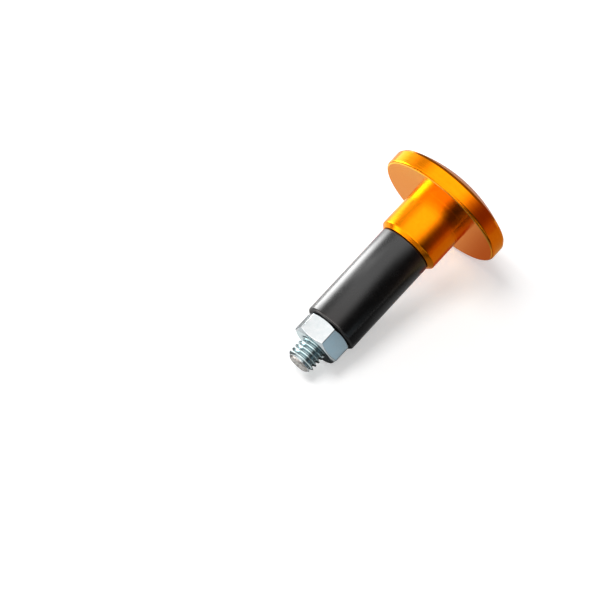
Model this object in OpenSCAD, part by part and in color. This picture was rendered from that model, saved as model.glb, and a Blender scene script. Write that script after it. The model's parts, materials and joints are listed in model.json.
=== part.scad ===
// Bar end weight for a motorcycle handlebar, lying as it comes to rest.
// A domed cap with a collar, a countersunk socket screw through it, a rubber sleeve that the
// screw squeezes against the inside of the bar, and the nut that pulls on the sleeve.
// Every piece is drawn along its own axis: Z = 0 is the flat back of the cap's flange,
// +Z points out through the dome, and the sleeve and the nut lie below zero.

/* [Cap flange] */
// Diameter of the flange
flange_d = 38; // [32:0.5:50]
// Height of the straight rim round the flange
rim_h = 4.7; // [3:0.1:7]
// Radius of the domed front
dome_r = 40; // [34:1:80]
// Break on the rim's back edge, which the cap lies on
back_break = 0.5; // [0.2:0.1:1]
// Break on the edge between rim and dome
front_break = 0.3; // [0.1:0.1:0.8]

/* [Cap collar] */
// Diameter of the collar behind the flange
collar_d = 18; // [17:0.5:22]
// Length of the collar
collar_l = 13.7; // [6:0.1:25]
// Chamfer on the collar's end
collar_chamfer = 1.1; // [0.2:0.1:1.2]
// Bore through the cap
cap_bore_d = 8.4; // [8.3:0.1:9]

/* [Socket screw] */
// Length over all, with the head
screw_l = 65.6; // [60:0.1:100]
// Diameter over the thread
screw_d = 8; // [7:0.1:8]
// Diameter of the countersunk head
head_d = 15.7; // [14:0.1:17]
// Straight edge round the top of the head
head_edge = 0.45; // [0.2:0.05:0.8]
// Width across the flats of the hexagon socket
socket_af = 5; // [4:0.5:6]
// Depth of the hexagon socket
socket_depth = 3.5; // [2:0.1:4.5]
// Turn of the socket about the axis
socket_turn = 12; // [0:1:59]
// Chamfer on the tip
tip_chamfer = 1.2; // [0.4:0.1:1.5]
// Depth of the shallow dish in the end of the tip
tip_dish = 0.35; // [0.1:0.05:0.6]

/* [Rubber sleeve] */
// Diameter of the sleeve
sleeve_d = 15.6; // [14:0.1:16]
// Length of the sleeve, between the collar and the nut
sleeve_l = 30.4; // [20:0.1:34]
// Bore through the sleeve
sleeve_bore_d = 8.4; // [8.2:0.1:9]
// Chamfer on both ends of the sleeve
sleeve_chamfer = 0.4; // [0.1:0.1:1]

/* [Hexagon nut] */
// Width across the flats
nut_af = 13; // [12:0.5:13.5]
// Height of the nut
nut_h = 6.5; // [5:0.1:8]
// Diameter of the round land left on each end face
nut_land_d = 12.2; // [11:0.1:12.8]
// Diameter of the countersink at each end of the thread
nut_mouth_d = 8.8; // [8.2:0.1:9.5]

/* [Fits] */
// Gap between the screw's head and its seat in the cap, measured along the axis
seat_play = 0.05; // [0.02:0.01:0.1]
// Gap all round between the screw and the nut
thread_play = 0.05; // [0.02:0.01:0.1]

/* [Hidden] */
$fn = 96;
dome_fn = 240;
cut = 1;

// The dome is a ball whose surface passes through the rim's front edge.
flange_r = flange_d / 2;
dome_z = rim_h - sqrt(pow(dome_r, 2) - pow(flange_r, 2));
function dome_at(r) = dome_z + sqrt(pow(dome_r, 2) - pow(r, 2));

// The head's top is level with the dome at the mouth of its seat, a cone of 90 degrees.
head_r = head_d / 2;
head_z = dome_at(head_r + head_edge);
seat_z = head_z - head_edge - seat_play;
tip_z = head_z - screw_l;
tip_r = screw_d / 2 - tip_chamfer;
dish_r = tip_r - 0.4;

// Sleeve and nut follow one another below the collar.
sleeve_z = -collar_l;
nut_z = sleeve_z - sleeve_l;
nut_end_z = nut_z - nut_h;
nut_flare_d = nut_land_d + 2 * nut_h / tan(30);
flat_inset = (nut_af - nut_land_d) / 2 * tan(30);

// At rest the weight stands on the rim's back edge and leans down to what meets the ground
// first: the end of one flat of the nut, or else the screw's tip or the sleeve's end.
function lean_onto(z, r) = atan((flange_r - r) / (back_break - z));
lean = min(
    lean_onto(nut_end_z + flat_inset, nut_af / 2),
    lean_onto(tip_z + tip_chamfer, screw_d / 2),
    lean_onto(nut_z + sleeve_chamfer, sleeve_d / 2)
);
lift = flange_r * cos(lean) - back_break * sin(lean);

// The reach of the dome and of the tip along X puts the middle of the part over zero.
crown_r = max(head_r + head_edge, min(dome_r * sin(lean), flange_r));
cap_reach = dome_at(crown_r) * cos(lean) + crown_r * sin(lean);
tip_reach = tip_z * cos(lean) - tip_r * sin(lean);

// Lays a piece down: its axis leans, the dome looks up towards +X.
module laid_down() {
    translate([-(cap_reach + tip_reach) / 2, 0, lift]) rotate([0, 90 - lean, 0]) children();
}

// A plain disc or bar between two heights.
module bar(d, z0, z1) {
    translate([0, 0, z0]) cylinder(h = z1 - z0, d = d);
}

// A cone between two heights, with its diameter at each.
module taper(d0, d1, z0, z1) {
    translate([0, 0, z0]) cylinder(h = z1 - z0, d1 = d0, d2 = d1);
}

// A hexagon bar with one flat towards the ground once it is laid down.
module hex_bar(af, z0, z1) {
    translate([0, 0, z0]) rotate([0, 0, 30]) cylinder(h = z1 - z0, d = af / cos(30), $fn = 6);
}

// The domed disc: a straight rim, a broken back edge and a broken edge under the dome.
module flange() {
    slope = (90 + asin(flange_r / dome_r)) / 2;
    break_z = rim_h - front_break;
    cone_h = flange_r * tan(slope);
    intersection() {
        union() {
            taper(flange_d - 2 * back_break, flange_d, 0, back_break);
            bar(flange_d, back_break, dome_at(0));
        }
        translate([0, 0, dome_z]) sphere(r = dome_r, $fn = dome_fn);
        union() {
            bar(flange_d + 2 * cut, -cut, break_z);
            taper(flange_d, 0, break_z, break_z + cone_h);
        }
    }
}

// The spigot behind the flange, with its chamfered end.
module collar() {
    shoulder_z = collar_chamfer - collar_l;
    taper(collar_d - 2 * collar_chamfer, collar_d, -collar_l, shoulder_z);
    bar(collar_d, shoulder_z, cut);
}

// The bore and the countersunk seat that opens on the dome.
module seat_hollow() {
    bar(cap_bore_d, -collar_l - cut, seat_z);
    taper(0, head_d + 4 * cut, seat_z - head_r, seat_z + 2 * cut);
}

// One turned piece of anodised aluminium.
module end_cap() {
    color("orange") laid_down() difference() {
        union() {
            flange();
            collar();
        }
        seat_hollow();
    }
}

// The hexagon socket, with the drill's cone at its bottom.
module socket_hollow() {
    floor_z = head_z - socket_depth;
    rotate([0, 0, socket_turn]) hex_bar(socket_af, floor_z, head_z + cut);
    taper(0, socket_af, floor_z - socket_af / 2 * tan(30), floor_z);
}

// The shallow dish that the rolled thread leaves in the end of the tip.
module tip_hollow() {
    ball_r = (pow(dish_r, 2) + pow(tip_dish, 2)) / (2 * tip_dish);
    translate([0, 0, tip_z + tip_dish - ball_r]) sphere(r = ball_r, $fn = dome_fn);
}

// The countersunk screw that holds everything together.
module socket_screw() {
    color("silver") laid_down() difference() {
        union() {
            bar(head_d, head_z - head_edge, head_z);
            taper(screw_d, head_d, head_z - head_edge - (head_d - screw_d) / 2, head_z - head_edge);
            bar(screw_d, tip_z + tip_chamfer, head_z - head_edge - (head_d - screw_d) / 2);
            taper(2 * tip_r, screw_d, tip_z, tip_z + tip_chamfer);
        }
        socket_hollow();
        tip_hollow();
    }
}

// The rubber tube that bulges and grips when the nut is drawn up.
module rubber_sleeve() {
    color("dimgray") laid_down() difference() {
        union() {
            taper(sleeve_d - 2 * sleeve_chamfer, sleeve_d, nut_z, nut_z + sleeve_chamfer);
            bar(sleeve_d, nut_z + sleeve_chamfer, sleeve_z - sleeve_chamfer);
            taper(sleeve_d, sleeve_d - 2 * sleeve_chamfer, sleeve_z - sleeve_chamfer, sleeve_z);
        }
        bar(sleeve_bore_d, nut_z - cut, sleeve_z + cut);
    }
}

// The hexagon nut, chamfered on both ends like a standard one.
module hex_nut() {
    bore_d = screw_d + 2 * thread_play;
    mouth_h = (nut_mouth_d - bore_d) / 2;
    color("silver") laid_down() difference() {
        intersection() {
            hex_bar(nut_af, nut_end_z, nut_z);
            taper(nut_land_d, nut_flare_d, nut_end_z, nut_z);
            taper(nut_flare_d, nut_land_d, nut_end_z, nut_z);
        }
        bar(bore_d, nut_end_z - cut, nut_z + cut);
        taper(nut_mouth_d, bore_d, nut_end_z, nut_end_z + mouth_h);
        taper(bore_d, nut_mouth_d, nut_z - mouth_h, nut_z);
    }
}

end_cap();
socket_screw();
rubber_sleeve();
hex_nut();
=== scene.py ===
# %% [markdown]
# # A bar end weight for a handlebar
#
# The part is an orange anodised cap, a countersunk screw through it, a rubber sleeve and a nut.
# All four are turned or hexagonal about one axis, so nearly every surface here is one profile
# carried round that axis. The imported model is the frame: it says where the axis lies, how long
# the pieces are and which body they belong to. The scene only adds the fine surfaces.

# %% Load the frame
import json
import math

import bmesh
import bpy
import numpy as np
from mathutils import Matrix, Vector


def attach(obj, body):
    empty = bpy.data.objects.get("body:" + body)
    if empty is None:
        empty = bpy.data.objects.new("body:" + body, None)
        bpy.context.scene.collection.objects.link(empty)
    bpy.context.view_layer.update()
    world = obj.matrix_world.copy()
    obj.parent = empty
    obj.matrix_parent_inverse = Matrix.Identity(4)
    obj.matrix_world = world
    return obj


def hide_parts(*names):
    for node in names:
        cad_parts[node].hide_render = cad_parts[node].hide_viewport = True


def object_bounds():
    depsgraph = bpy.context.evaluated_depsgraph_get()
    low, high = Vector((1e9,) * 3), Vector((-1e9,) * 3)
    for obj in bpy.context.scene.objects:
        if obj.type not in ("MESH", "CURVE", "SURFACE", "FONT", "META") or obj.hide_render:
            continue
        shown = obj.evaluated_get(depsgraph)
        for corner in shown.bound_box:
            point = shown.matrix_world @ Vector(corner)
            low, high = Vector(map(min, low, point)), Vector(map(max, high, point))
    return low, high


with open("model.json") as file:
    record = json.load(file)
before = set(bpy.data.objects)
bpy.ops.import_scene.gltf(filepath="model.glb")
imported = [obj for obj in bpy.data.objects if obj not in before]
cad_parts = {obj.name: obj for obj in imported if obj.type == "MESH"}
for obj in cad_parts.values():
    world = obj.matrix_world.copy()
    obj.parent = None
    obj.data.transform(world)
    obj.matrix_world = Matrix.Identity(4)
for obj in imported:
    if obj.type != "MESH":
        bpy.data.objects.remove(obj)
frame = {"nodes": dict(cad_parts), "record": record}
cad_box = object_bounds()
print("nodes:", sorted(frame["nodes"]))

# %% [markdown]
# The part lies on the ground with its axis leaning, so it is simplest to draw every piece upright
# in millimetres and to lay it down at the end. The mounts of the record give the axis: the
# collar's spigot says which way the axis points and how long the collar is, and half that length
# further out is the flat back of the flange, which is height zero in all that follows.

# %% The part's own axis
MM = 0.001
mounts = {m["name"]: m for m in frame["record"]["mounts"]}
spigot, grip = mounts["collar_spigot"], mounts["sleeve_grip"]
outboard = -np.array(spigot["axis"], float)
side = np.array([0.0, 1.0, 0.0])
down = np.cross(side, outboard)
flange_back = np.array(spigot["pos_m"]) + outboard * spigot["dims"]["length_mm"] / 2 * MM


def laid_down(local):
    """Millimetres about the upright axis become metres in the frame: x points down, z out."""
    return flange_back + np.asarray(local) @ np.stack([down, side, outboard]) * MM


print("axis leans by", round(math.degrees(math.asin(outboard[2])), 2), "degrees")

# %% [markdown]
# The two mounts also carry the radii and lengths of collar and sleeve, so those are read from the
# frame. The other sizes are the part's own, repeated here in millimetres, but for the break
# between rim and dome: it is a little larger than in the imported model, because the dark line that
# it draws in the photograph is that wide. The screw is a standard M8, which fixes the thread's
# pitch and root. Heights follow from the sizes, piece by piece.

# %% The sizes, in millimetres
flange_r, rim_h, dome_r = 19.0, 4.7, 40.0
back_break, front_break, front_break_wide = 0.5, 0.5, 0.4
collar_r, collar_chamfer, cap_bore_r = spigot["dims"]["r_mm"], 1.1, 4.2
collar_l = spigot["dims"]["length_mm"] + collar_chamfer
sleeve_r, sleeve_chamfer, sleeve_bore_r = grip["dims"]["r_mm"], 0.4, 4.2
sleeve_l = grip["dims"]["length_mm"] + 2 * sleeve_chamfer
nut_af, nut_h, nut_land_r, nut_mouth_r, nut_bore_r = 13.0, 6.5, 6.1, 4.4, 4.05
head_r, head_edge, screw_r, screw_l = 7.85, 0.45, 4.0, 65.6
seat_play, socket_af, socket_depth, socket_turn = 0.05, 5.0, 3.5, 12.0
pitch, root_r, tip_chamfer, tip_dish = 1.25, 3.2, 1.2, 0.35

dome_z = rim_h - math.sqrt(dome_r**2 - flange_r**2)
sleeve_z = -collar_l
nut_z = sleeve_z - sleeve_l
nut_end_z = nut_z - nut_h


def dome_at(r):
    """Height of the dome at a distance from the axis: a ball's surface."""
    return dome_z + np.sqrt(dome_r**2 - np.square(r))


head_z = float(dome_at(head_r + head_edge))
seat_z = head_z - head_edge - seat_play
tip_z = head_z - screw_l
print("head", round(head_z, 2), "nut's end", round(nut_end_z, 2), "tip", round(tip_z, 2))

# %% [markdown]
# No machined edge is perfectly sharp, and it is the narrow round on an edge that catches the
# light. A bevel modifier could make it, but a profile is only a short list of corners, so each
# corner is bent here into a small curve before the profile is carried round. The curve's own
# rows are followed by one more row on each side, which keeps the flat faces beside it flat.


# %% Profiles with rounded corners
def rounded(corners, closed=True, steps=7):
    """Rows of a profile whose corners are rounded.

    A corner is (distance from the axis, height, rounding), where the first two may hold one
    value for each angle. With C the corner and P and Q the points a rounding away from it on its
    two sides, the curve is (1 - t)^2 P + 2 t (1 - t) C + t^2 Q, for t from 0 to 1.
    """
    wide = max(np.size(value) for corner in corners for value in corner[:2])
    points = np.array([[np.broadcast_to(v, wide) for v in c[:2]] for c in corners])
    points = points.transpose(0, 2, 1)
    t = np.linspace(0, 1, steps)[:, None, None]
    rows = []
    for k, (corner, size) in enumerate(zip(points, [c[2] for c in corners])):
        if size == 0 or (not closed and k in (0, len(corners) - 1)):
            rows.append(corner[None])
            continue
        before, after = points[k - 1] - corner, points[(k + 1) % len(corners)] - corner
        before /= np.linalg.norm(before, axis=-1, keepdims=True)
        after /= np.linalg.norm(after, axis=-1, keepdims=True)
        p, q = corner + size * before, corner + size * after
        rows.append((p + size / 3 * before)[None])
        rows.append((1 - t) ** 2 * p + 2 * t * (1 - t) * corner + t**2 * q)
        rows.append((q + size / 3 * after)[None])
    return np.concatenate(rows)


# %% [markdown]
# Every piece becomes one mesh. Its points come as whole grids, and joining neighbours in a grid
# gives clean rows of four-sided faces that follow the shape. Merging the points that coincide
# closes the seam and the poles, and the print tells how many edges were left open.


# %% A surface from rows of points
merge_within = 1e-7


def placed(name, data):
    """A new object, linked to the scene."""
    made = bpy.data.objects.new(name, data)
    bpy.context.collection.objects.link(made)
    return made


def skin(name, shells):
    """One mesh object from grids of points, each (rows, angles, 3) and joined round the angles.

    A shell is (points, wraps, shift). Quads join neighbouring rows and angles; a shell that
    wraps also joins its last row to its first, and a shift joins the last angle to the first
    angle that many rows further on, as a screw thread needs. Points that coincide are merged,
    which closes seams and poles, and the faces are turned outwards.
    """
    verts, faces, start = [], [], 0
    for points, wraps, shift in shells:
        rows, angles = points.shape[:2]
        index = start + np.arange(rows * angles).reshape(rows, angles)
        if shift:
            index = np.hstack([index[: rows - shift], index[shift:, :1]])
        else:
            index = np.hstack([index, index[:, :1]])
        if wraps:
            index = np.vstack([index, index[:1]])
        quads = [index[:-1, :-1], index[:-1, 1:], index[1:, 1:], index[1:, :-1]]
        faces.append(np.stack(quads, -1).reshape(-1, 4))
        verts.append(points.reshape(-1, 3))
        start += rows * angles
    mesh = bpy.data.meshes.new(name)
    mesh.from_pydata(laid_down(np.concatenate(verts)).tolist(), [], np.concatenate(faces).tolist())
    work = bmesh.new()
    work.from_mesh(mesh)
    bmesh.ops.remove_doubles(work, verts=work.verts, dist=merge_within)
    bmesh.ops.delete(work, geom=[v for v in work.verts if not v.link_faces], context="VERTS")
    bmesh.ops.recalc_face_normals(work, faces=work.faces)
    open_edges = sum(len(e.link_faces) != 2 for e in work.edges)
    volume = work.calc_volume(signed=True) / MM**3
    triangles = sum(len(f.verts) - 2 for f in work.faces)
    work.to_mesh(mesh)
    work.free()
    mesh.shade_smooth()
    print(name, "volume", round(volume), "mm3, triangles", triangles, "open edges", open_edges)
    return placed(name, mesh)


def carried_round(rows, angles):
    """Each row's point at distance r and height z stands at (r cos a, r sin a, z) for angle a."""
    r, z = np.broadcast_arrays(rows[..., 0], rows[..., 1])
    r, z = (np.broadcast_to(v, (len(rows), len(angles))) for v in (r, z))
    return np.stack([r * np.cos(angles), r * np.sin(angles), z], -1)


def full_turn(count):
    """Angles evenly spaced round the axis, in radians."""
    return np.linspace(0, 2 * np.pi, count, endpoint=False)


# %% [markdown]
# ## The cap
#
# The cap is turned from one aluminium bar: a dome of large radius, a straight rim, a flat back,
# and a collar that steps down to meet the sleeve. A lathe is a profile carried round an axis, so
# the mesh is made the same way. The dome is worked out as an arc, and the other corners keep
# their real breaks, with the seat for the screw's head cut as a cone of ninety degrees.

# %% The turned cap
mouth_gap, dome_rows = 0.04, 44
mouth_r = head_r + head_edge + mouth_gap
break_r = flange_r - front_break_wide
dome_radii = np.linspace(mouth_r + 0.5, break_r - 0.4, dome_rows)
cap_profile = rounded(
    [(cap_bore_r, seat_z - head_r + cap_bore_r, 0.05), (mouth_r, float(dome_at(mouth_r)), 0.12)]
    + [(r, float(dome_at(r)), 0) for r in dome_radii]
    + [
        (break_r, float(dome_at(break_r)), 0.06),
        (flange_r, rim_h - front_break, 0.08),
        (flange_r, back_break, 0.33),
        (flange_r - back_break, 0, 0.33),
        (collar_r, 0, 0.06),
        (collar_r, collar_chamfer - collar_l, 0.18),
        (collar_r - collar_chamfer, -collar_l, 0.05),
        (cap_bore_r, -collar_l, 0.05),
    ]
)
end_cap = skin("Turned_Cap", [(carried_round(cap_profile, full_turn(288)), True, 0)])

# %% [markdown]
# ## The sleeve
#
# The sleeve is a plain length of thick rubber tube, cut to length, so its edges are soft and its
# outside is straight. It touches the collar and the nut with its flat ends.

# %% The rubber sleeve
sleeve_profile = rounded(
    [
        (sleeve_bore_r, nut_z, 0.1),
        (sleeve_r - sleeve_chamfer, nut_z, 0.14),
        (sleeve_r, nut_z + sleeve_chamfer, 0.25),
        (sleeve_r, sleeve_z - sleeve_chamfer, 0.25),
        (sleeve_r - sleeve_chamfer, sleeve_z, 0.14),
        (sleeve_bore_r, sleeve_z, 0.1),
    ]
)
sleeve = skin("Rubber_Sleeve", [(carried_round(sleeve_profile, full_turn(224)), True, 0)])

# %% [markdown]
# ## The nut
#
# A standard nut is a hexagon whose ends are turned down at thirty degrees, which leaves a round
# land and the curved corners that everyone knows. A boolean of a hexagon and a cone would give
# ragged edges. Instead the distance from the axis is a formula of the angle, and the height at
# which the cone meets the flat follows from it, so the rows of the mesh run along those curves.


# %% A hexagon as a distance from the axis
def hexagon(angles, across, corner):
    """Distance from the axis to a hexagon's outline, its corners rounded to a radius.

    Measured from the middle of a flat, the flat lies at half the width over the cosine of the
    angle. Near a corner the outline is a circle of the given radius, whose centre stands on the
    corner's line: d cos b + sqrt(corner^2 - (d sin b)^2), with b the angle from that line.
    """
    sixth = np.pi / 3
    from_flat = (angles + sixth / 2) % sixth - sixth / 2
    b = sixth / 2 - np.abs(from_flat)
    d = (across / 2 - corner) / math.cos(sixth / 2)
    meets = math.atan2(corner / 2, d + corner * math.cos(sixth / 2))
    arc = d * np.cos(b) + np.sqrt(np.maximum(corner**2 - (d * np.sin(b)) ** 2, 0))
    return np.where(b < meets, arc, across / 2 / np.cos(from_flat))


def hexagon_angles(across, corner, on_flat=20, on_corner=8):
    """Angles round a hexagon, close together where its corners bend."""
    sixth, beyond_the_bend = math.pi / 3, 1.3
    half = math.atan2(corner / 2, across / 2 / math.cos(sixth / 2) - corner) * beyond_the_bend
    flat = np.linspace(half - sixth / 2, sixth / 2 - half, on_flat)
    bend = sixth / 2 + np.linspace(-half, half, on_corner + 2)[1:-1]
    return np.concatenate([np.concatenate([flat, bend]) + sixth * k for k in range(6)])


# %% The hexagon nut
nut_corner = 0.45
nut_angles = hexagon_angles(nut_af, nut_corner)
nut_r = hexagon(nut_angles, nut_af, nut_corner)
land_rise = (nut_r - nut_land_r) * math.tan(math.radians(30))
mouth_h = nut_mouth_r - nut_bore_r
nut_profile = rounded(
    [
        (nut_bore_r, nut_end_z + mouth_h, 0.05),
        (nut_mouth_r, nut_end_z, 0.08),
        (nut_land_r, nut_end_z, 0.1),
        (nut_r, nut_end_z + land_rise, 0.13),
        (nut_r, nut_z - land_rise, 0.13),
        (nut_land_r, nut_z, 0.1),
        (nut_mouth_r, nut_z, 0.08),
        (nut_bore_r, nut_z - mouth_h, 0.05),
    ]
)
nut = skin("Hexagon_Nut", [(carried_round(nut_profile, nut_angles), True, 0)])

# %% [markdown]
# ## The screw
#
# The head is a flat disc with a hexagon socket, above a cone that sits in the cap. Its rows start
# on the axis at the bottom of the socket, climb the hexagon's walls and run out over the head, so
# one grid turns from a hexagon into a circle. Below, a thread is the same groove all the way
# down, so its rows climb by one pitch in a turn and each joins the row one pitch above it. The
# thread's upper end runs out inside the shank and keeps a small opening there, which is why the
# print counts open edges for the screw. Nothing of it can be seen.

# %% Head and shank
socket_corner, socket_break, drill_angle = 0.12, 0.18, 30
socket_angles = hexagon_angles(socket_af, socket_corner, on_flat=22)
socket_r = hexagon(socket_angles, socket_af, socket_corner)
socket_floor = head_z - socket_depth
drill_depth = socket_af / 2 * math.tan(math.radians(drill_angle))
thread_beyond_nut, shank_overlap = 3.0, 0.5
thread_top = nut_z + thread_beyond_nut
shank_end = thread_top - shank_overlap
head_profile = rounded(
    [
        (0, socket_floor - drill_depth, 0),
        (socket_af / 2 - 0.05, socket_floor, 0.1),
        (socket_r, socket_floor + 0.02, 0.01),
        (socket_r, head_z - socket_break, 0.05),
        (socket_r + socket_break, head_z, 0.06),
        (head_r, head_z, 0.12),
        (head_r, head_z - head_edge, 0.08),
        (screw_r, head_z - head_edge - (head_r - screw_r), 0.3),
        (screw_r, shank_end, 0.1),
        (0, shank_end, 0),
    ],
    closed=False,
)
head_angles = socket_angles + math.radians(socket_turn)
head_shell = (carried_round(head_profile, head_angles), False, 0)
print("head and shank", len(head_profile), "rows of", len(head_angles), "points")


# %% Thread, and the whole screw
root_share, flank_share, rounded_share = 0.16, 0.70, 0.2


def thread_shell(low, high, rows_a_turn=26, columns=132):
    """A helical groove that ends in the tip and, at the top, inside the shank.

    The row at offset s stands at height s + pitch * angle / full turn. Its distance from the
    axis is a trapezium wave of the offset: root, flank, crest, flank, with the flanks a little
    rounded. Past each end the height stops and the distance shrinks, by all of itself over one
    pitch. So the tip closes on the axis, while the top, whose rows stop sooner, stays open. Near
    the tip the distance is also held within the chamfer, and its end sinks into a shallow dish.
    """
    offsets = np.arange(low - 2.2 * pitch, high + 1.2 * pitch, pitch / rows_a_turn)
    angles = full_turn(columns)
    z = offsets[:, None] + pitch * angles / (2 * np.pi)
    wave = np.abs((offsets / pitch) % 1 - 0.5) * 2
    flank = np.clip((wave - root_share) / flank_share, 0, 1)
    flank = flank**2 * (3 - 2 * flank) * rounded_share + flank * (1 - rounded_share)
    r = np.broadcast_to((root_r + (screw_r - root_r) * flank)[:, None], z.shape)
    tip_r = screw_r - tip_chamfer
    r = np.minimum(r, tip_r + np.maximum(z - low, 0))
    r = r * np.clip(1 - (low - z) / pitch, 0, 1) * np.clip(1 - (z - high) / pitch, 0, 1)
    dish = tip_dish * np.maximum(1 - (r / (tip_r - 0.35)) ** 2, 0)
    z = np.where(z < low, low + dish, np.minimum(z, high))
    return np.stack([r * np.cos(angles), r * np.sin(angles), z], -1), False, rows_a_turn


screw = skin("Socket_Screw", [head_shell, thread_shell(tip_z, thread_top)])

# %% [markdown]
# ## Finishes
#
# A finish is a small sum of patterns. The class below wraps one output of a node, so that a sum
# of patterns can be written as Python and adds its own Math nodes. Masks are wires too: they rise
# from 0 to 1 where something starts, fall where it ends, and multiply where both must hold.


# %% Shader maths
class Wire:
    """One output of a material's nodes. Operators on wires add the nodes that work them out."""

    def __init__(self, tree, out=None):
        self.tree, self.out = tree, out

    def node(self, kind, settings=None, inputs=None, output=0):
        """Adds a node: its type, then its settings, then the values or wires of its sockets."""
        made = self.tree.nodes.new(kind)
        for key, value in (settings or {}).items():
            setattr(made, key, value)
        for key, value in (inputs or {}).items():
            if isinstance(value, Wire):
                self.tree.links.new(value.out, made.inputs[key])
            else:
                made.inputs[key].default_value = value
        return Wire(self.tree, made.outputs[output] if made.outputs else None)

    def other(self, output):
        """Another output of the node that this wire leaves."""
        return Wire(self.tree, self.out.node.outputs[output])

    def math(self, operation, *values):
        """A Math node over wires or numbers."""
        return self.node("ShaderNodeMath", {"operation": operation}, dict(enumerate(values)))

    def vector(self, operation, *values, output=0):
        """A Vector Math node over wires or vectors."""
        settings = {"operation": operation}
        return self.node("ShaderNodeVectorMath", settings, dict(enumerate(values)), output)

    def __add__(self, other):
        return self.math("ADD", self, other)

    def __sub__(self, other):
        return self.math("SUBTRACT", self, other)

    def __rsub__(self, other):
        return self.math("SUBTRACT", other, self)

    def __mul__(self, other):
        return self.math("MULTIPLY", self, other)

    def __pow__(self, other):
        return self.math("POWER", self, other)

    __radd__, __rmul__ = __add__, __mul__

    def between(self, low, high, shape="LINEAR"):
        """0 below low, 1 above high, and a rise from one to the other."""
        settings = {"clamp": True, "interpolation_type": shape}
        values = {"Value": self, "From Min": low, "From Max": high}
        return self.node("ShaderNodeMapRange", settings, values)

    def soft(self, low, high):
        """The same with a rise that starts and ends gently."""
        return self.between(low, high, "SMOOTHSTEP")

    def fall(self, low, high):
        """1 below low, 0 above high, and a gentle fall from one to the other."""
        return 1 - self.soft(low, high)

    def hill(self, start, full, past, end):
        """0 up to start, 1 from full to past, and 0 again from end on."""
        return self.soft(start, full) * self.fall(past, end)

    def blend(self, first, second):
        """A colour that goes from the first to the second as this wire goes from 0 to 1."""
        return self.node("ShaderNodeMix", {"data_type": "RGBA"}, {0: self, 6: first, 7: second}, 2)


# %% [markdown]
# Three measures are enough for every finish on this part: the height along the axis, the distance
# from it, and the place itself, which noise needs. They come from Object coordinates, which are
# the frame's own here, so a pattern stays where it is when a mesh is made in another way.


# %% Materials and patterns from wires
def empty_tree(owner):
    """Clears the nodes of a material or of a world, and gives its tree to add nodes to."""
    owner.use_nodes = True
    owner.node_tree.nodes.clear()
    return Wire(owner.node_tree)


def finish(name, shader_values, patterns):
    """A material: fixed values go on the shader's own sockets, and patterns(tree) adds wires."""
    material = bpy.data.materials.new(name)
    tree = empty_tree(material)
    values = dict(shader_values, **patterns(tree))
    shader = tree.node("ShaderNodeBsdfPrincipled", {}, values)
    tree.node("ShaderNodeOutputMaterial", {}, {"Surface": shader})
    print(name, "has", len(material.node_tree.nodes), "nodes")
    return material


def about_axis(tree):
    """The place from the flange's back, and its height along the axis and distance from it, in mm."""
    place = tree.node("ShaderNodeTexCoord", output="Object")
    start = place.vector("SUBTRACT", place, tuple(flange_back))
    start = tree.node("ShaderNodeVectorMath", {"operation": "SCALE"}, {0: start, "Scale": 1 / MM})
    height = start.vector("DOT_PRODUCT", start, tuple(outboard), output="Value")
    length = start.vector("LENGTH", start, output="Value")
    return start, height, (length * length - height * height) ** 0.5


def noise(tree, scale, detail, along=None, at=None):
    """Noise with a number of waves to the millimetre, along one wire or over a place."""
    if along is not None:
        settings, values = {"noise_dimensions": "1D"}, {"W": along}
    else:
        settings, values = {"noise_dimensions": "3D"}, {"Vector": at}
    return tree.node("ShaderNodeTexNoise", settings, dict(values, Scale=scale, Detail=detail))


def bumps(tree, height, depth):
    """A normal bent by a height pattern that is so many millimetres deep."""
    return tree.node("ShaderNodeBump", {}, {"Height": height, "Distance": depth * MM, "Strength": 1.0})


def grey(tone):
    """A grey as a colour."""
    return (tone, tone, tone, 1)


# %% [markdown]
# ### Anodised aluminium
#
# Anodising grows a clear, dyed layer of oxide on bright metal. Light goes through the dye, comes
# back from the metal and takes the orange with it, while the top of the oxide adds a white gloss
# that grows towards grazing angles. A clear coat over a tinted metal could do both, but it laid a
# second, white picture of the room on the orange, which the photograph lacks. So the metal alone
# does it: its base is the orange, and its specular tint the paler tone that it takes at a slant.
# The lathe leaves fine rings, so a noise that runs along the profile only bends the normals. The
# flat back takes a paler orange than the rest, set so that it comes out as pale as it looks where
# it mirrors the lit floor: a painted lighter tone on one face of the same metal. The broken edges
# are too narrow to show rings.


# %% Orange anodised finish
deep_orange, bright_orange = (0.73, 0.18, 0.001, 1), (0.79, 0.205, 0.002, 1)
pale_back_orange, slanting_tint = (0.79, 0.42, 0.06, 1), (1.0, 0.89, 0.60, 1)
ring_waves, ring_depth = 2.6, 0.030


def anodised_patterns(tree):
    """Orange with fine rings, a paler faced back and two smooth broken edges."""
    place, height, away = about_axis(tree)
    along = height + away
    rings = noise(tree, ring_waves, 4.0, along=along)
    fine = noise(tree, 1.0, 2.0, at=place)
    shade = (rings * 0.5 + fine * 0.5).between(0.3, 0.7)
    back = height.between(-0.15, -0.1) * (1 - height.between(0.1, 0.15))
    # A paler orange on the flat back: a lighter tone painted on one face of the same metal.
    pale_back = back * away.between(collar_r + 0.1, collar_r + 0.2)
    front_edge = height.between(rim_h - front_break - 0.02, rim_h - front_break + 0.02)
    front_edge = front_edge * away.between(break_r - 0.04, break_r)
    back_edge = height.between(0.01, 0.05)
    back_edge = back_edge * (1 - height.between(back_break - 0.02, back_break + 0.02))
    broken = front_edge + back_edge
    orange = shade.blend(deep_orange, bright_orange)
    return {
        "Base Color": pale_back.blend(orange, pale_back_orange),
        "Roughness": 0.13 + rings * 0.12,
        "Normal": bumps(tree, rings * (1 - broken), ring_depth),
    }


anodised = finish(
    "Orange_Anodised",
    {"Metallic": 1.0, "Specular Tint": slanting_tint},
    anodised_patterns,
)

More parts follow.
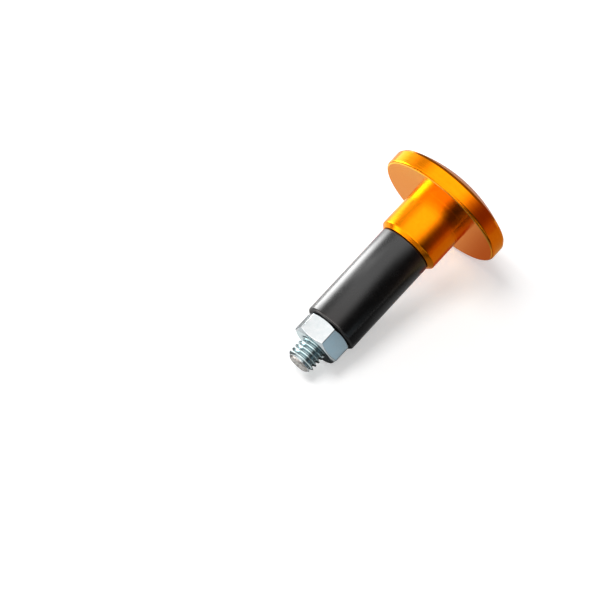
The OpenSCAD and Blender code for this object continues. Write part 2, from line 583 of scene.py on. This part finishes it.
# %% [markdown]
# ### Rubber
#
# The sleeve's rubber is black right through, with a smooth skin that shines only at a slant. It
# needs almost no colour of its own: what is seen is its gloss, spread by a fine grain.


# %% Black rubber
deep_black, worn_black = (0.0012, 0.0012, 0.0014, 1), grey(0.003)
rubber_grain_depth = 0.005


def rubber_patterns(tree):
    """Near black with a fine grain, which is coarser and duller on the cut ends."""
    place, height, _ = about_axis(tree)
    grain = noise(tree, 6.0, 4.0, at=place)
    cloud = noise(tree, 0.5, 2.0, at=place)
    from_middle = height - (sleeve_z + nut_z) / 2
    from_middle = from_middle.math("ABSOLUTE", from_middle)
    cut = from_middle.between(sleeve_l / 2 - 0.3, sleeve_l / 2 - 0.15)
    return {
        "Base Color": cloud.blend(deep_black, worn_black),
        "Roughness": 0.22 + cloud * 0.08 + cut * 0.2,
        "Normal": bumps(tree, grain * (1 + cut * 2), rubber_grain_depth),
    }


rubber = finish("Black_Rubber", {"IOR": 1.5}, rubber_patterns)

# %% [markdown]
# ### Bright zinc
#
# Screw and nut are steel with a thin zinc plating that has been passivated, which leaves a pale
# blue tint and faint clouds. The tint is deeper on the thread. Its groove is darker still: that is
# painted shade, for the light that the groove loses between its walls. The end of the screw, where
# it was cut, is a warmer, mottled grey. All of it is one metal whose colour changes with the place,
# which apart from the groove's painted shade is how it is on one real screw.


# %% Blue passivated zinc
dull_zinc, bright_zinc = (0.46, 0.53, 0.555, 1), (0.60, 0.635, 0.65, 1)
dull_thread, bright_thread = (0.44, 0.55, 0.57, 1), (0.56, 0.66, 0.67, 1)
groove_shade = (0.27, 0.35, 0.37, 1)
dark_end, bright_end = (0.16, 0.155, 0.15, 1), (0.52, 0.50, 0.47, 1)
zinc_grain_depth, end_coarseness = 0.004, 30


def zinc_patterns(tree):
    """Pale plating, a bluer thread with painted shade in its groove, and a mottled end on the tip."""
    place, height, away = about_axis(tree)
    cloud = noise(tree, 0.8, 3.0, at=place)
    grain = noise(tree, 9.0, 3.0, at=place)
    plated = cloud.blend(dull_zinc, bright_zinc)
    below_nut = 1 - height.between(nut_end_z, nut_end_z + 0.05)
    # The groove's darker colour is painted shade.
    groove = 1 - away.between(root_r + 0.10, root_r + 0.36)
    threaded = groove.blend(cloud.blend(dull_thread, bright_thread), groove_shade)
    on_thread = below_nut * height.between(tip_z + 0.6, tip_z + 1.1)
    thread = on_thread.blend(plated, threaded)
    bare = 1 - height.between(tip_z + tip_dish + 0.05, tip_z + tip_dish + 0.3)
    sheared = noise(tree, 1.3, 3.0, at=place)
    mottled = sheared.between(0.38, 0.60).blend(dark_end, bright_end)
    return {
        "Base Color": bare.blend(thread, mottled),
        "Roughness": 0.14 + cloud * 0.12 + bare * 0.12,
        "Normal": bumps(tree, grain + bare * sheared * end_coarseness, zinc_grain_depth),
    }


zinc = finish("Bright_Zinc", {"Metallic": 1.0}, zinc_patterns)

# %% [markdown]
# Each piece takes its finish, rides on the part's one body and stands in for the node of the same
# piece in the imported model, so that nothing is seen twice.

# %% Pieces take their finishes and their places
for piece, material, node, slot in (
    (end_cap, anodised, "end_cap", "anodised_cap"),
    (sleeve, rubber, "rubber_sleeve", "black_rubber"),
    (nut, zinc, "hex_nut", "zinc_nut"),
    (screw, zinc, "socket_screw", "zinc_screw"),
):
    piece.data.materials.append(material)
    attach(piece, "root")
    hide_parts(node)
    print(piece.name, "stands in for", node)

# %% [markdown]
# ## The studio
#
# Bright metal is a picture of the room around it, so the room is drawn with the same care. The
# light comes from two soft lamps on the far side, one high and one low, which give the floor its
# soft shadow. What the metal mirrors is a tent of white cloth round the part: bright overhead,
# with a bright strip low on the far side, and dark on the near side, where the camera stands.
# Mirroring the lamps themselves would leave two hard squares on the metal, so they aren't
# mirrored, and the tent shows in reflections only.


# %% Lamps
middle = (np.array(cad_box[0]) + np.array(cad_box[1])) / 2


def lamp(name, azimuth, elevation, distance, size, radiance):
    """A square soft light that looks at the part; its power follows from the radiance wanted."""
    a, e = math.radians(azimuth), math.radians(elevation)
    out = np.array([math.cos(a) * math.cos(e), math.sin(a) * math.cos(e), math.sin(e)])
    light = bpy.data.lights.new(name, "AREA")
    light.size = size
    light.energy = radiance * math.pi * size**2
    stand = placed(name, light)
    stand.location = middle + out * distance
    stand.rotation_euler = (0, math.pi / 2 - e, a)
    stand.visible_glossy = False
    print(name, "power", round(light.energy, 2), "W")


lamp("High_Lamp", azimuth=96, elevation=76, distance=0.50, size=0.22, radiance=7.5)
lamp("Low_Lamp", azimuth=96, elevation=32, distance=0.50, size=0.14, radiance=20.0)

# %% [markdown]
# The tent is a tunnel along the part, closed by a rounded end on each side. A point on it is
# known by its angle round the tunnel, from the ground on the far side over the top to the ground
# on the near side, and by its place along the tunnel. Its radius and half its straight length are
# given in metres here, and it starts a little below the floor, so that no gap shows there.


# %% The tent's mesh
def only_mirrored(piece):
    """Leaves a piece of the studio in reflections only: no light, no shadow, not seen itself."""
    piece.visible_camera = piece.visible_diffuse = False
    piece.visible_shadow = piece.visible_transmission = False


tent_r, tent_half, tent_rows = 0.072, 0.05, 64
over = np.radians(np.linspace(-4, 184, tent_rows))
along = np.radians(np.linspace(-89, 89, tent_rows))
bulge = tent_r * np.cos(along)[:, None]
tent_x = (np.sign(along) * tent_half + tent_r * np.sin(along))[:, None] + 0 * over
tent_points = np.stack([tent_x, bulge * np.cos(over), bulge * np.sin(over)], -1)
index = np.arange(tent_rows**2).reshape(tent_rows, tent_rows)
quads = np.stack([index[:-1, :-1], index[1:, :-1], index[1:, 1:], index[:-1, 1:]], -1)
tent_mesh = bpy.data.meshes.new("Tent")
tent_mesh.from_pydata(tent_points.reshape(-1, 3).tolist(), [], quads.reshape(-1, 4).tolist())
tent = placed("Tent", tent_mesh)
only_mirrored(tent)
print("tent", len(quads.reshape(-1, 4)), "faces")


# %% [markdown]
# The glow is a sum of soft steps along the tunnel and round it. Each step stands for something
# that the real metal mirrors. The strip on the far side draws the long highlights on collar,
# sleeve and rim; the cloth overhead gives the broad bright band; the edge between bright and dark
# on the near side leans along the part and bends beside the flange. The ends of the tunnel are
# what the dome, the chamfers and the thread look at. In the formulas x is the place along the
# part in millimetres and angle is the degrees round the tunnel.


# %% Places in the frame, for the studio's patterns
def frame_place(tree):
    """The place along the part, across it and above the floor, as three wires in millimetres."""
    place = tree.node("ShaderNodeTexCoord", output="Object")
    split = tree.node("ShaderNodeSeparateXYZ", {}, {0: place})
    return [split.other(k) * (1 / MM) for k in range(3)]


# %% The strip on the far side
def far_strip(x, angle, cap, west):
    """Bright near the floor, weaker beside the cap, and gone beside the sleeve's lower half.

    A notch makes the collar's highlight narrow, and a dimmer stretch leaves the nut its shade.
    """
    full_glow = 13.5
    past_collar = (x + angle * 0.3).fall(-9, -4)
    glow = full_glow - cap * 11.0 - past_collar * full_glow + west * 3.8
    strip = angle.fall(16 + cap * 4, 44 + x.soft(21, 26.5) * 16) * glow
    notch = x.hill(14, 22, 31, 36) * angle.hill(19, 27, 33, 43) * 1.8
    dim = past_collar * (1 - west) * angle.fall(36, 58) * 0.68
    return strip - notch - dim


# %% The cloth overhead
def overhead(x, angle, slanted, cap, bend):
    """Even cloth, less bright over the nut, with a brighter patch for the collar and the sleeve."""
    cloth = 1.45 - x.fall(-18, -10) * 0.6 - bend * 0.35
    top = angle.soft(52 + cap * 8, 78) * slanted.fall(108, 140) * cloth
    collar_patch = x.hill(14, 19, 20, 25) * angle.hill(44, 56, 60, 72) * 0.8
    sleeve_patch = x.hill(-7, -2, 1, 6) * angle.hill(34, 42, 60, 78) * 3
    return top + collar_patch + sleeve_patch


# %% The tent's glow
def tent_glow(tree):
    """The far side and the top, the dark near side, and the two ends, each with its tint.

    The slanted angle is the angle round the tunnel, shifted with the place along it: it sets
    where the near side starts. A mask times a tone is added for each part, after the parts
    below it were faded by 1 - mask.
    """
    x, y, z = frame_place(tree)
    angle = z.math("ARCTAN2", z, y) * math.degrees(1)
    bend = x.hill(-12, -3, 4, 12)
    lean = (x.math("MAXIMUM", x, -30) - 30) * 0.1
    slanted = angle - lean + bend * 12 - x.fall(-31, -23) * 16
    cap, west = x.soft(14, 28), x.fall(-55, -41)
    far = far_strip(x, angle, cap, west) + overhead(x, angle, slanted, cap, bend) + 0.85

    near, ground = slanted.soft(108, 142), angle.soft(150, 172)
    below_sleeve = x.fall(-8, 1) * angle.soft(156, 172)
    dark = 0.03 + cap * (0.2 + ground * 0.32) + below_sleeve * 0.65

    east_end = x.soft(48, 60) * angle.soft(0, 24)
    west_end = x.fall(-96, -70) * angle.soft(12, 32)
    high_west = x.fall(-80, -55) * z.soft(35, 45) * angle.fall(140, 162)
    lit = (far * (1 - near) + near * dark) * (1 - east_end) * (1 - west_end)
    lit = lit + east_end * 0.25 + west_end * 0.24 + high_west * 3.6

    far_tint = x.fall(-24, -16).blend((1, 1, 1, 1), (1.07, 1, 0.975, 1))
    near_tint = ground.blend((1, 0.32, 0.2, 1), (1, 0.52, 0.3, 1))
    tint = (cap * near).blend(far_tint, near_tint)
    tint = below_sleeve.blend(tint, (0.75, 1.0, 1.15, 1))
    return tree.node("ShaderNodeVectorMath", {"operation": "SCALE"}, {0: tint, "Scale": lit})


def glowing(name, mesh, colour):
    """Gives a mesh a cloth that glows in a colour, or in the colour that colour(tree) works out."""
    cloth = bpy.data.materials.new(name)
    tree = empty_tree(cloth)
    values = {"Color": colour(tree) if callable(colour) else colour}
    glow = tree.node("ShaderNodeEmission", {}, values)
    tree.node("ShaderNodeOutputMaterial", {}, {"Surface": glow})
    mesh.materials.append(cloth)
    print(name, "glows, with", len(cloth.node_tree.nodes), "nodes")


glowing("Tent_Cloth", tent_mesh, tent_glow)

# %% [markdown]
# The metal also mirrors the floor. Nine cards lie on it, seen in reflections only, and their tones
# are painted shade and painted light on the floor for the metal to mirror: a dark one beside the
# sleeve, which is lighter close to the part, painted shade; a warm one beside the cap, on the
# camera's side, a warm painted shade; a reddish one under the flange, which stands for the light
# that the cap throws on the table and, on the near side, for the flange's shadow; two black ones
# under the nut and under the sleeve's end, painted shadow; two grey ones behind the nut and beside
# its tip, painted shade; a grey one in front of the dome, painted shade; and a white one along the
# far side, painted light.


# %% Cards on the floor
def flat_sheet(name, x, y, height):
    """A level rectangle between two places along the part and two across it, in millimetres."""
    corners = [(x[i] * MM, y[j] * MM, height * MM) for i, j in ((0, 0), (1, 0), (1, 1), (0, 1))]
    mesh = bpy.data.meshes.new(name)
    mesh.from_pydata(corners, [], [(0, 1, 2, 3)])
    return placed(name, mesh)


def card(name, x, y, colour, height=0.3):
    """A glowing sheet just above the floor, seen in reflections only."""
    made = flat_sheet(name, x, y, height)
    only_mirrored(made)
    glowing(name, made.data, colour)


def dark_towards_the_camera(tree):
    """Painted shade on the floor beside the sleeve: lighter close to the part
    and to the cap, darkest far out, and even beside the nut.
    """
    x, y, _ = frame_place(tree)
    close = x.soft(-14, 4).blend(grey(0.11), grey(0.34))
    tone = y.soft(-38, -20).blend(grey(0.03), close)
    return x.soft(-24, -16).blend(grey(0.27), tone)


def redder_under_the_flange(tree):
    """Deep red on the near side, where the flange shades the floor, and pink on the far side."""
    _, y, _ = frame_place(tree)
    return y.soft(-12, 8).blend((0.46, 0.15, 0.11, 1), (0.97, 0.63, 0.75, 1))


# Painted shade and painted light of the floor, which only the metal's reflections show.
card("Dark_Card", (-62, 18), (-55, -9), dark_towards_the_camera)
card("Warm_Card", (18, 70), (-70, -16), (0.62, 0.46, 0.22, 1))
card("Back_Card", (14, 27), (-16, 33), redder_under_the_flange, height=0.5)
card("Black_Card", (-31, -22.5), (-6.5, 1.5), grey(0.03))
card("End_Card", (-22.5, -13), (-8, 10), grey(0.04))
card("Grey_Card", (-24, -12), (10.2, 15.5), grey(0.33))
card("Side_Card", (-56, -31), (7, 12.8), grey(0.2))
card("East_Card", (48, 116), (-16, 34), (0.58, 0.51, 0.58, 1))
card("White_Card", (-14, 40), (24.5, 68), grey(1.7))

# %% [markdown]
# ## Floor and room
#
# The floor is white paper and the room behind it is white. A plain white surface would come out
# grey between the lamps, and light enough to fill it would drown the shadow. So a little glow is
# added that the camera, mirrors and glass see, while what the floor throws on the part stays that
# of the paper. The shadow of the lamps is kept, because the glow only lies on top of it.

# %% Floor and room
floor_half = 3000
floor = flat_sheet("Floor", (-floor_half, floor_half), (-floor_half, floor_half), 0)


def seen_directly(tree, by_camera, by_mirrors):
    """A strength for the camera's rays, one for mirrors and glass, and 0 for shared light."""
    path = tree.node("ShaderNodeLightPath")
    mirrored = path.other("Is Glossy Ray") + path.other("Is Transmission Ray")
    return path.other("Is Camera Ray") * by_camera + mirrored * by_mirrors


floor_material = bpy.data.materials.new("White_Floor")
tree = empty_tree(floor_material)
paint = tree.node("ShaderNodeBsdfDiffuse", {}, {"Color": grey(0.8)})
glow = tree.node("ShaderNodeEmission", {}, {"Strength": seen_directly(tree, 0.42, 0.10)})
both = tree.node("ShaderNodeAddShader", {}, {0: paint, 1: glow})
tree.node("ShaderNodeOutputMaterial", {}, {"Surface": both})
floor.data.materials.append(floor_material)

world = bpy.data.worlds.new("White_Room")
bpy.context.scene.world = world
tree = empty_tree(world)
room = tree.node("ShaderNodeBackground", {}, {"Strength": 0.5 + seen_directly(tree, 0.5, 0.5)})
tree.node("ShaderNodeOutputWorld", {}, {"Surface": room})
print("floor", 2 * floor_half * MM, "m wide, room", world.name)

# %% [markdown]
# ## The camera
#
# A long lens looks down on the part from the side of the nut. Its place was found by laying the
# outlines of flange, sleeve and nut over the photograph. The picture's middle lies beside the
# part, so the camera aims a little to the left of it and below it.

# %% Camera
view_azimuth, view_elevation, view_distance = -46.5, 54.9, 0.6626
aim_left, aim_below = 0.02172, 0.01045
a, e = math.radians(view_azimuth), math.radians(view_elevation)
back = np.array([math.sin(a) * math.cos(e), -math.cos(a) * math.cos(e), math.sin(e)])
right = np.array([math.cos(a), math.sin(a), 0])
up = np.cross(back, right)
lens = bpy.data.cameras.new("Camera")
lens.lens = 150
lens.clip_start, lens.clip_end = 0.01, 20
camera = placed("Camera", lens)
camera.location = middle - right * aim_left - up * aim_below + back * view_distance
camera.rotation_euler = (math.pi / 2 - e, 0, a)
bpy.context.scene.camera = camera
bpy.context.scene.view_settings.view_transform = "Standard"
print("camera at", np.round(camera.location, 3), "lens", lens.lens, "mm")
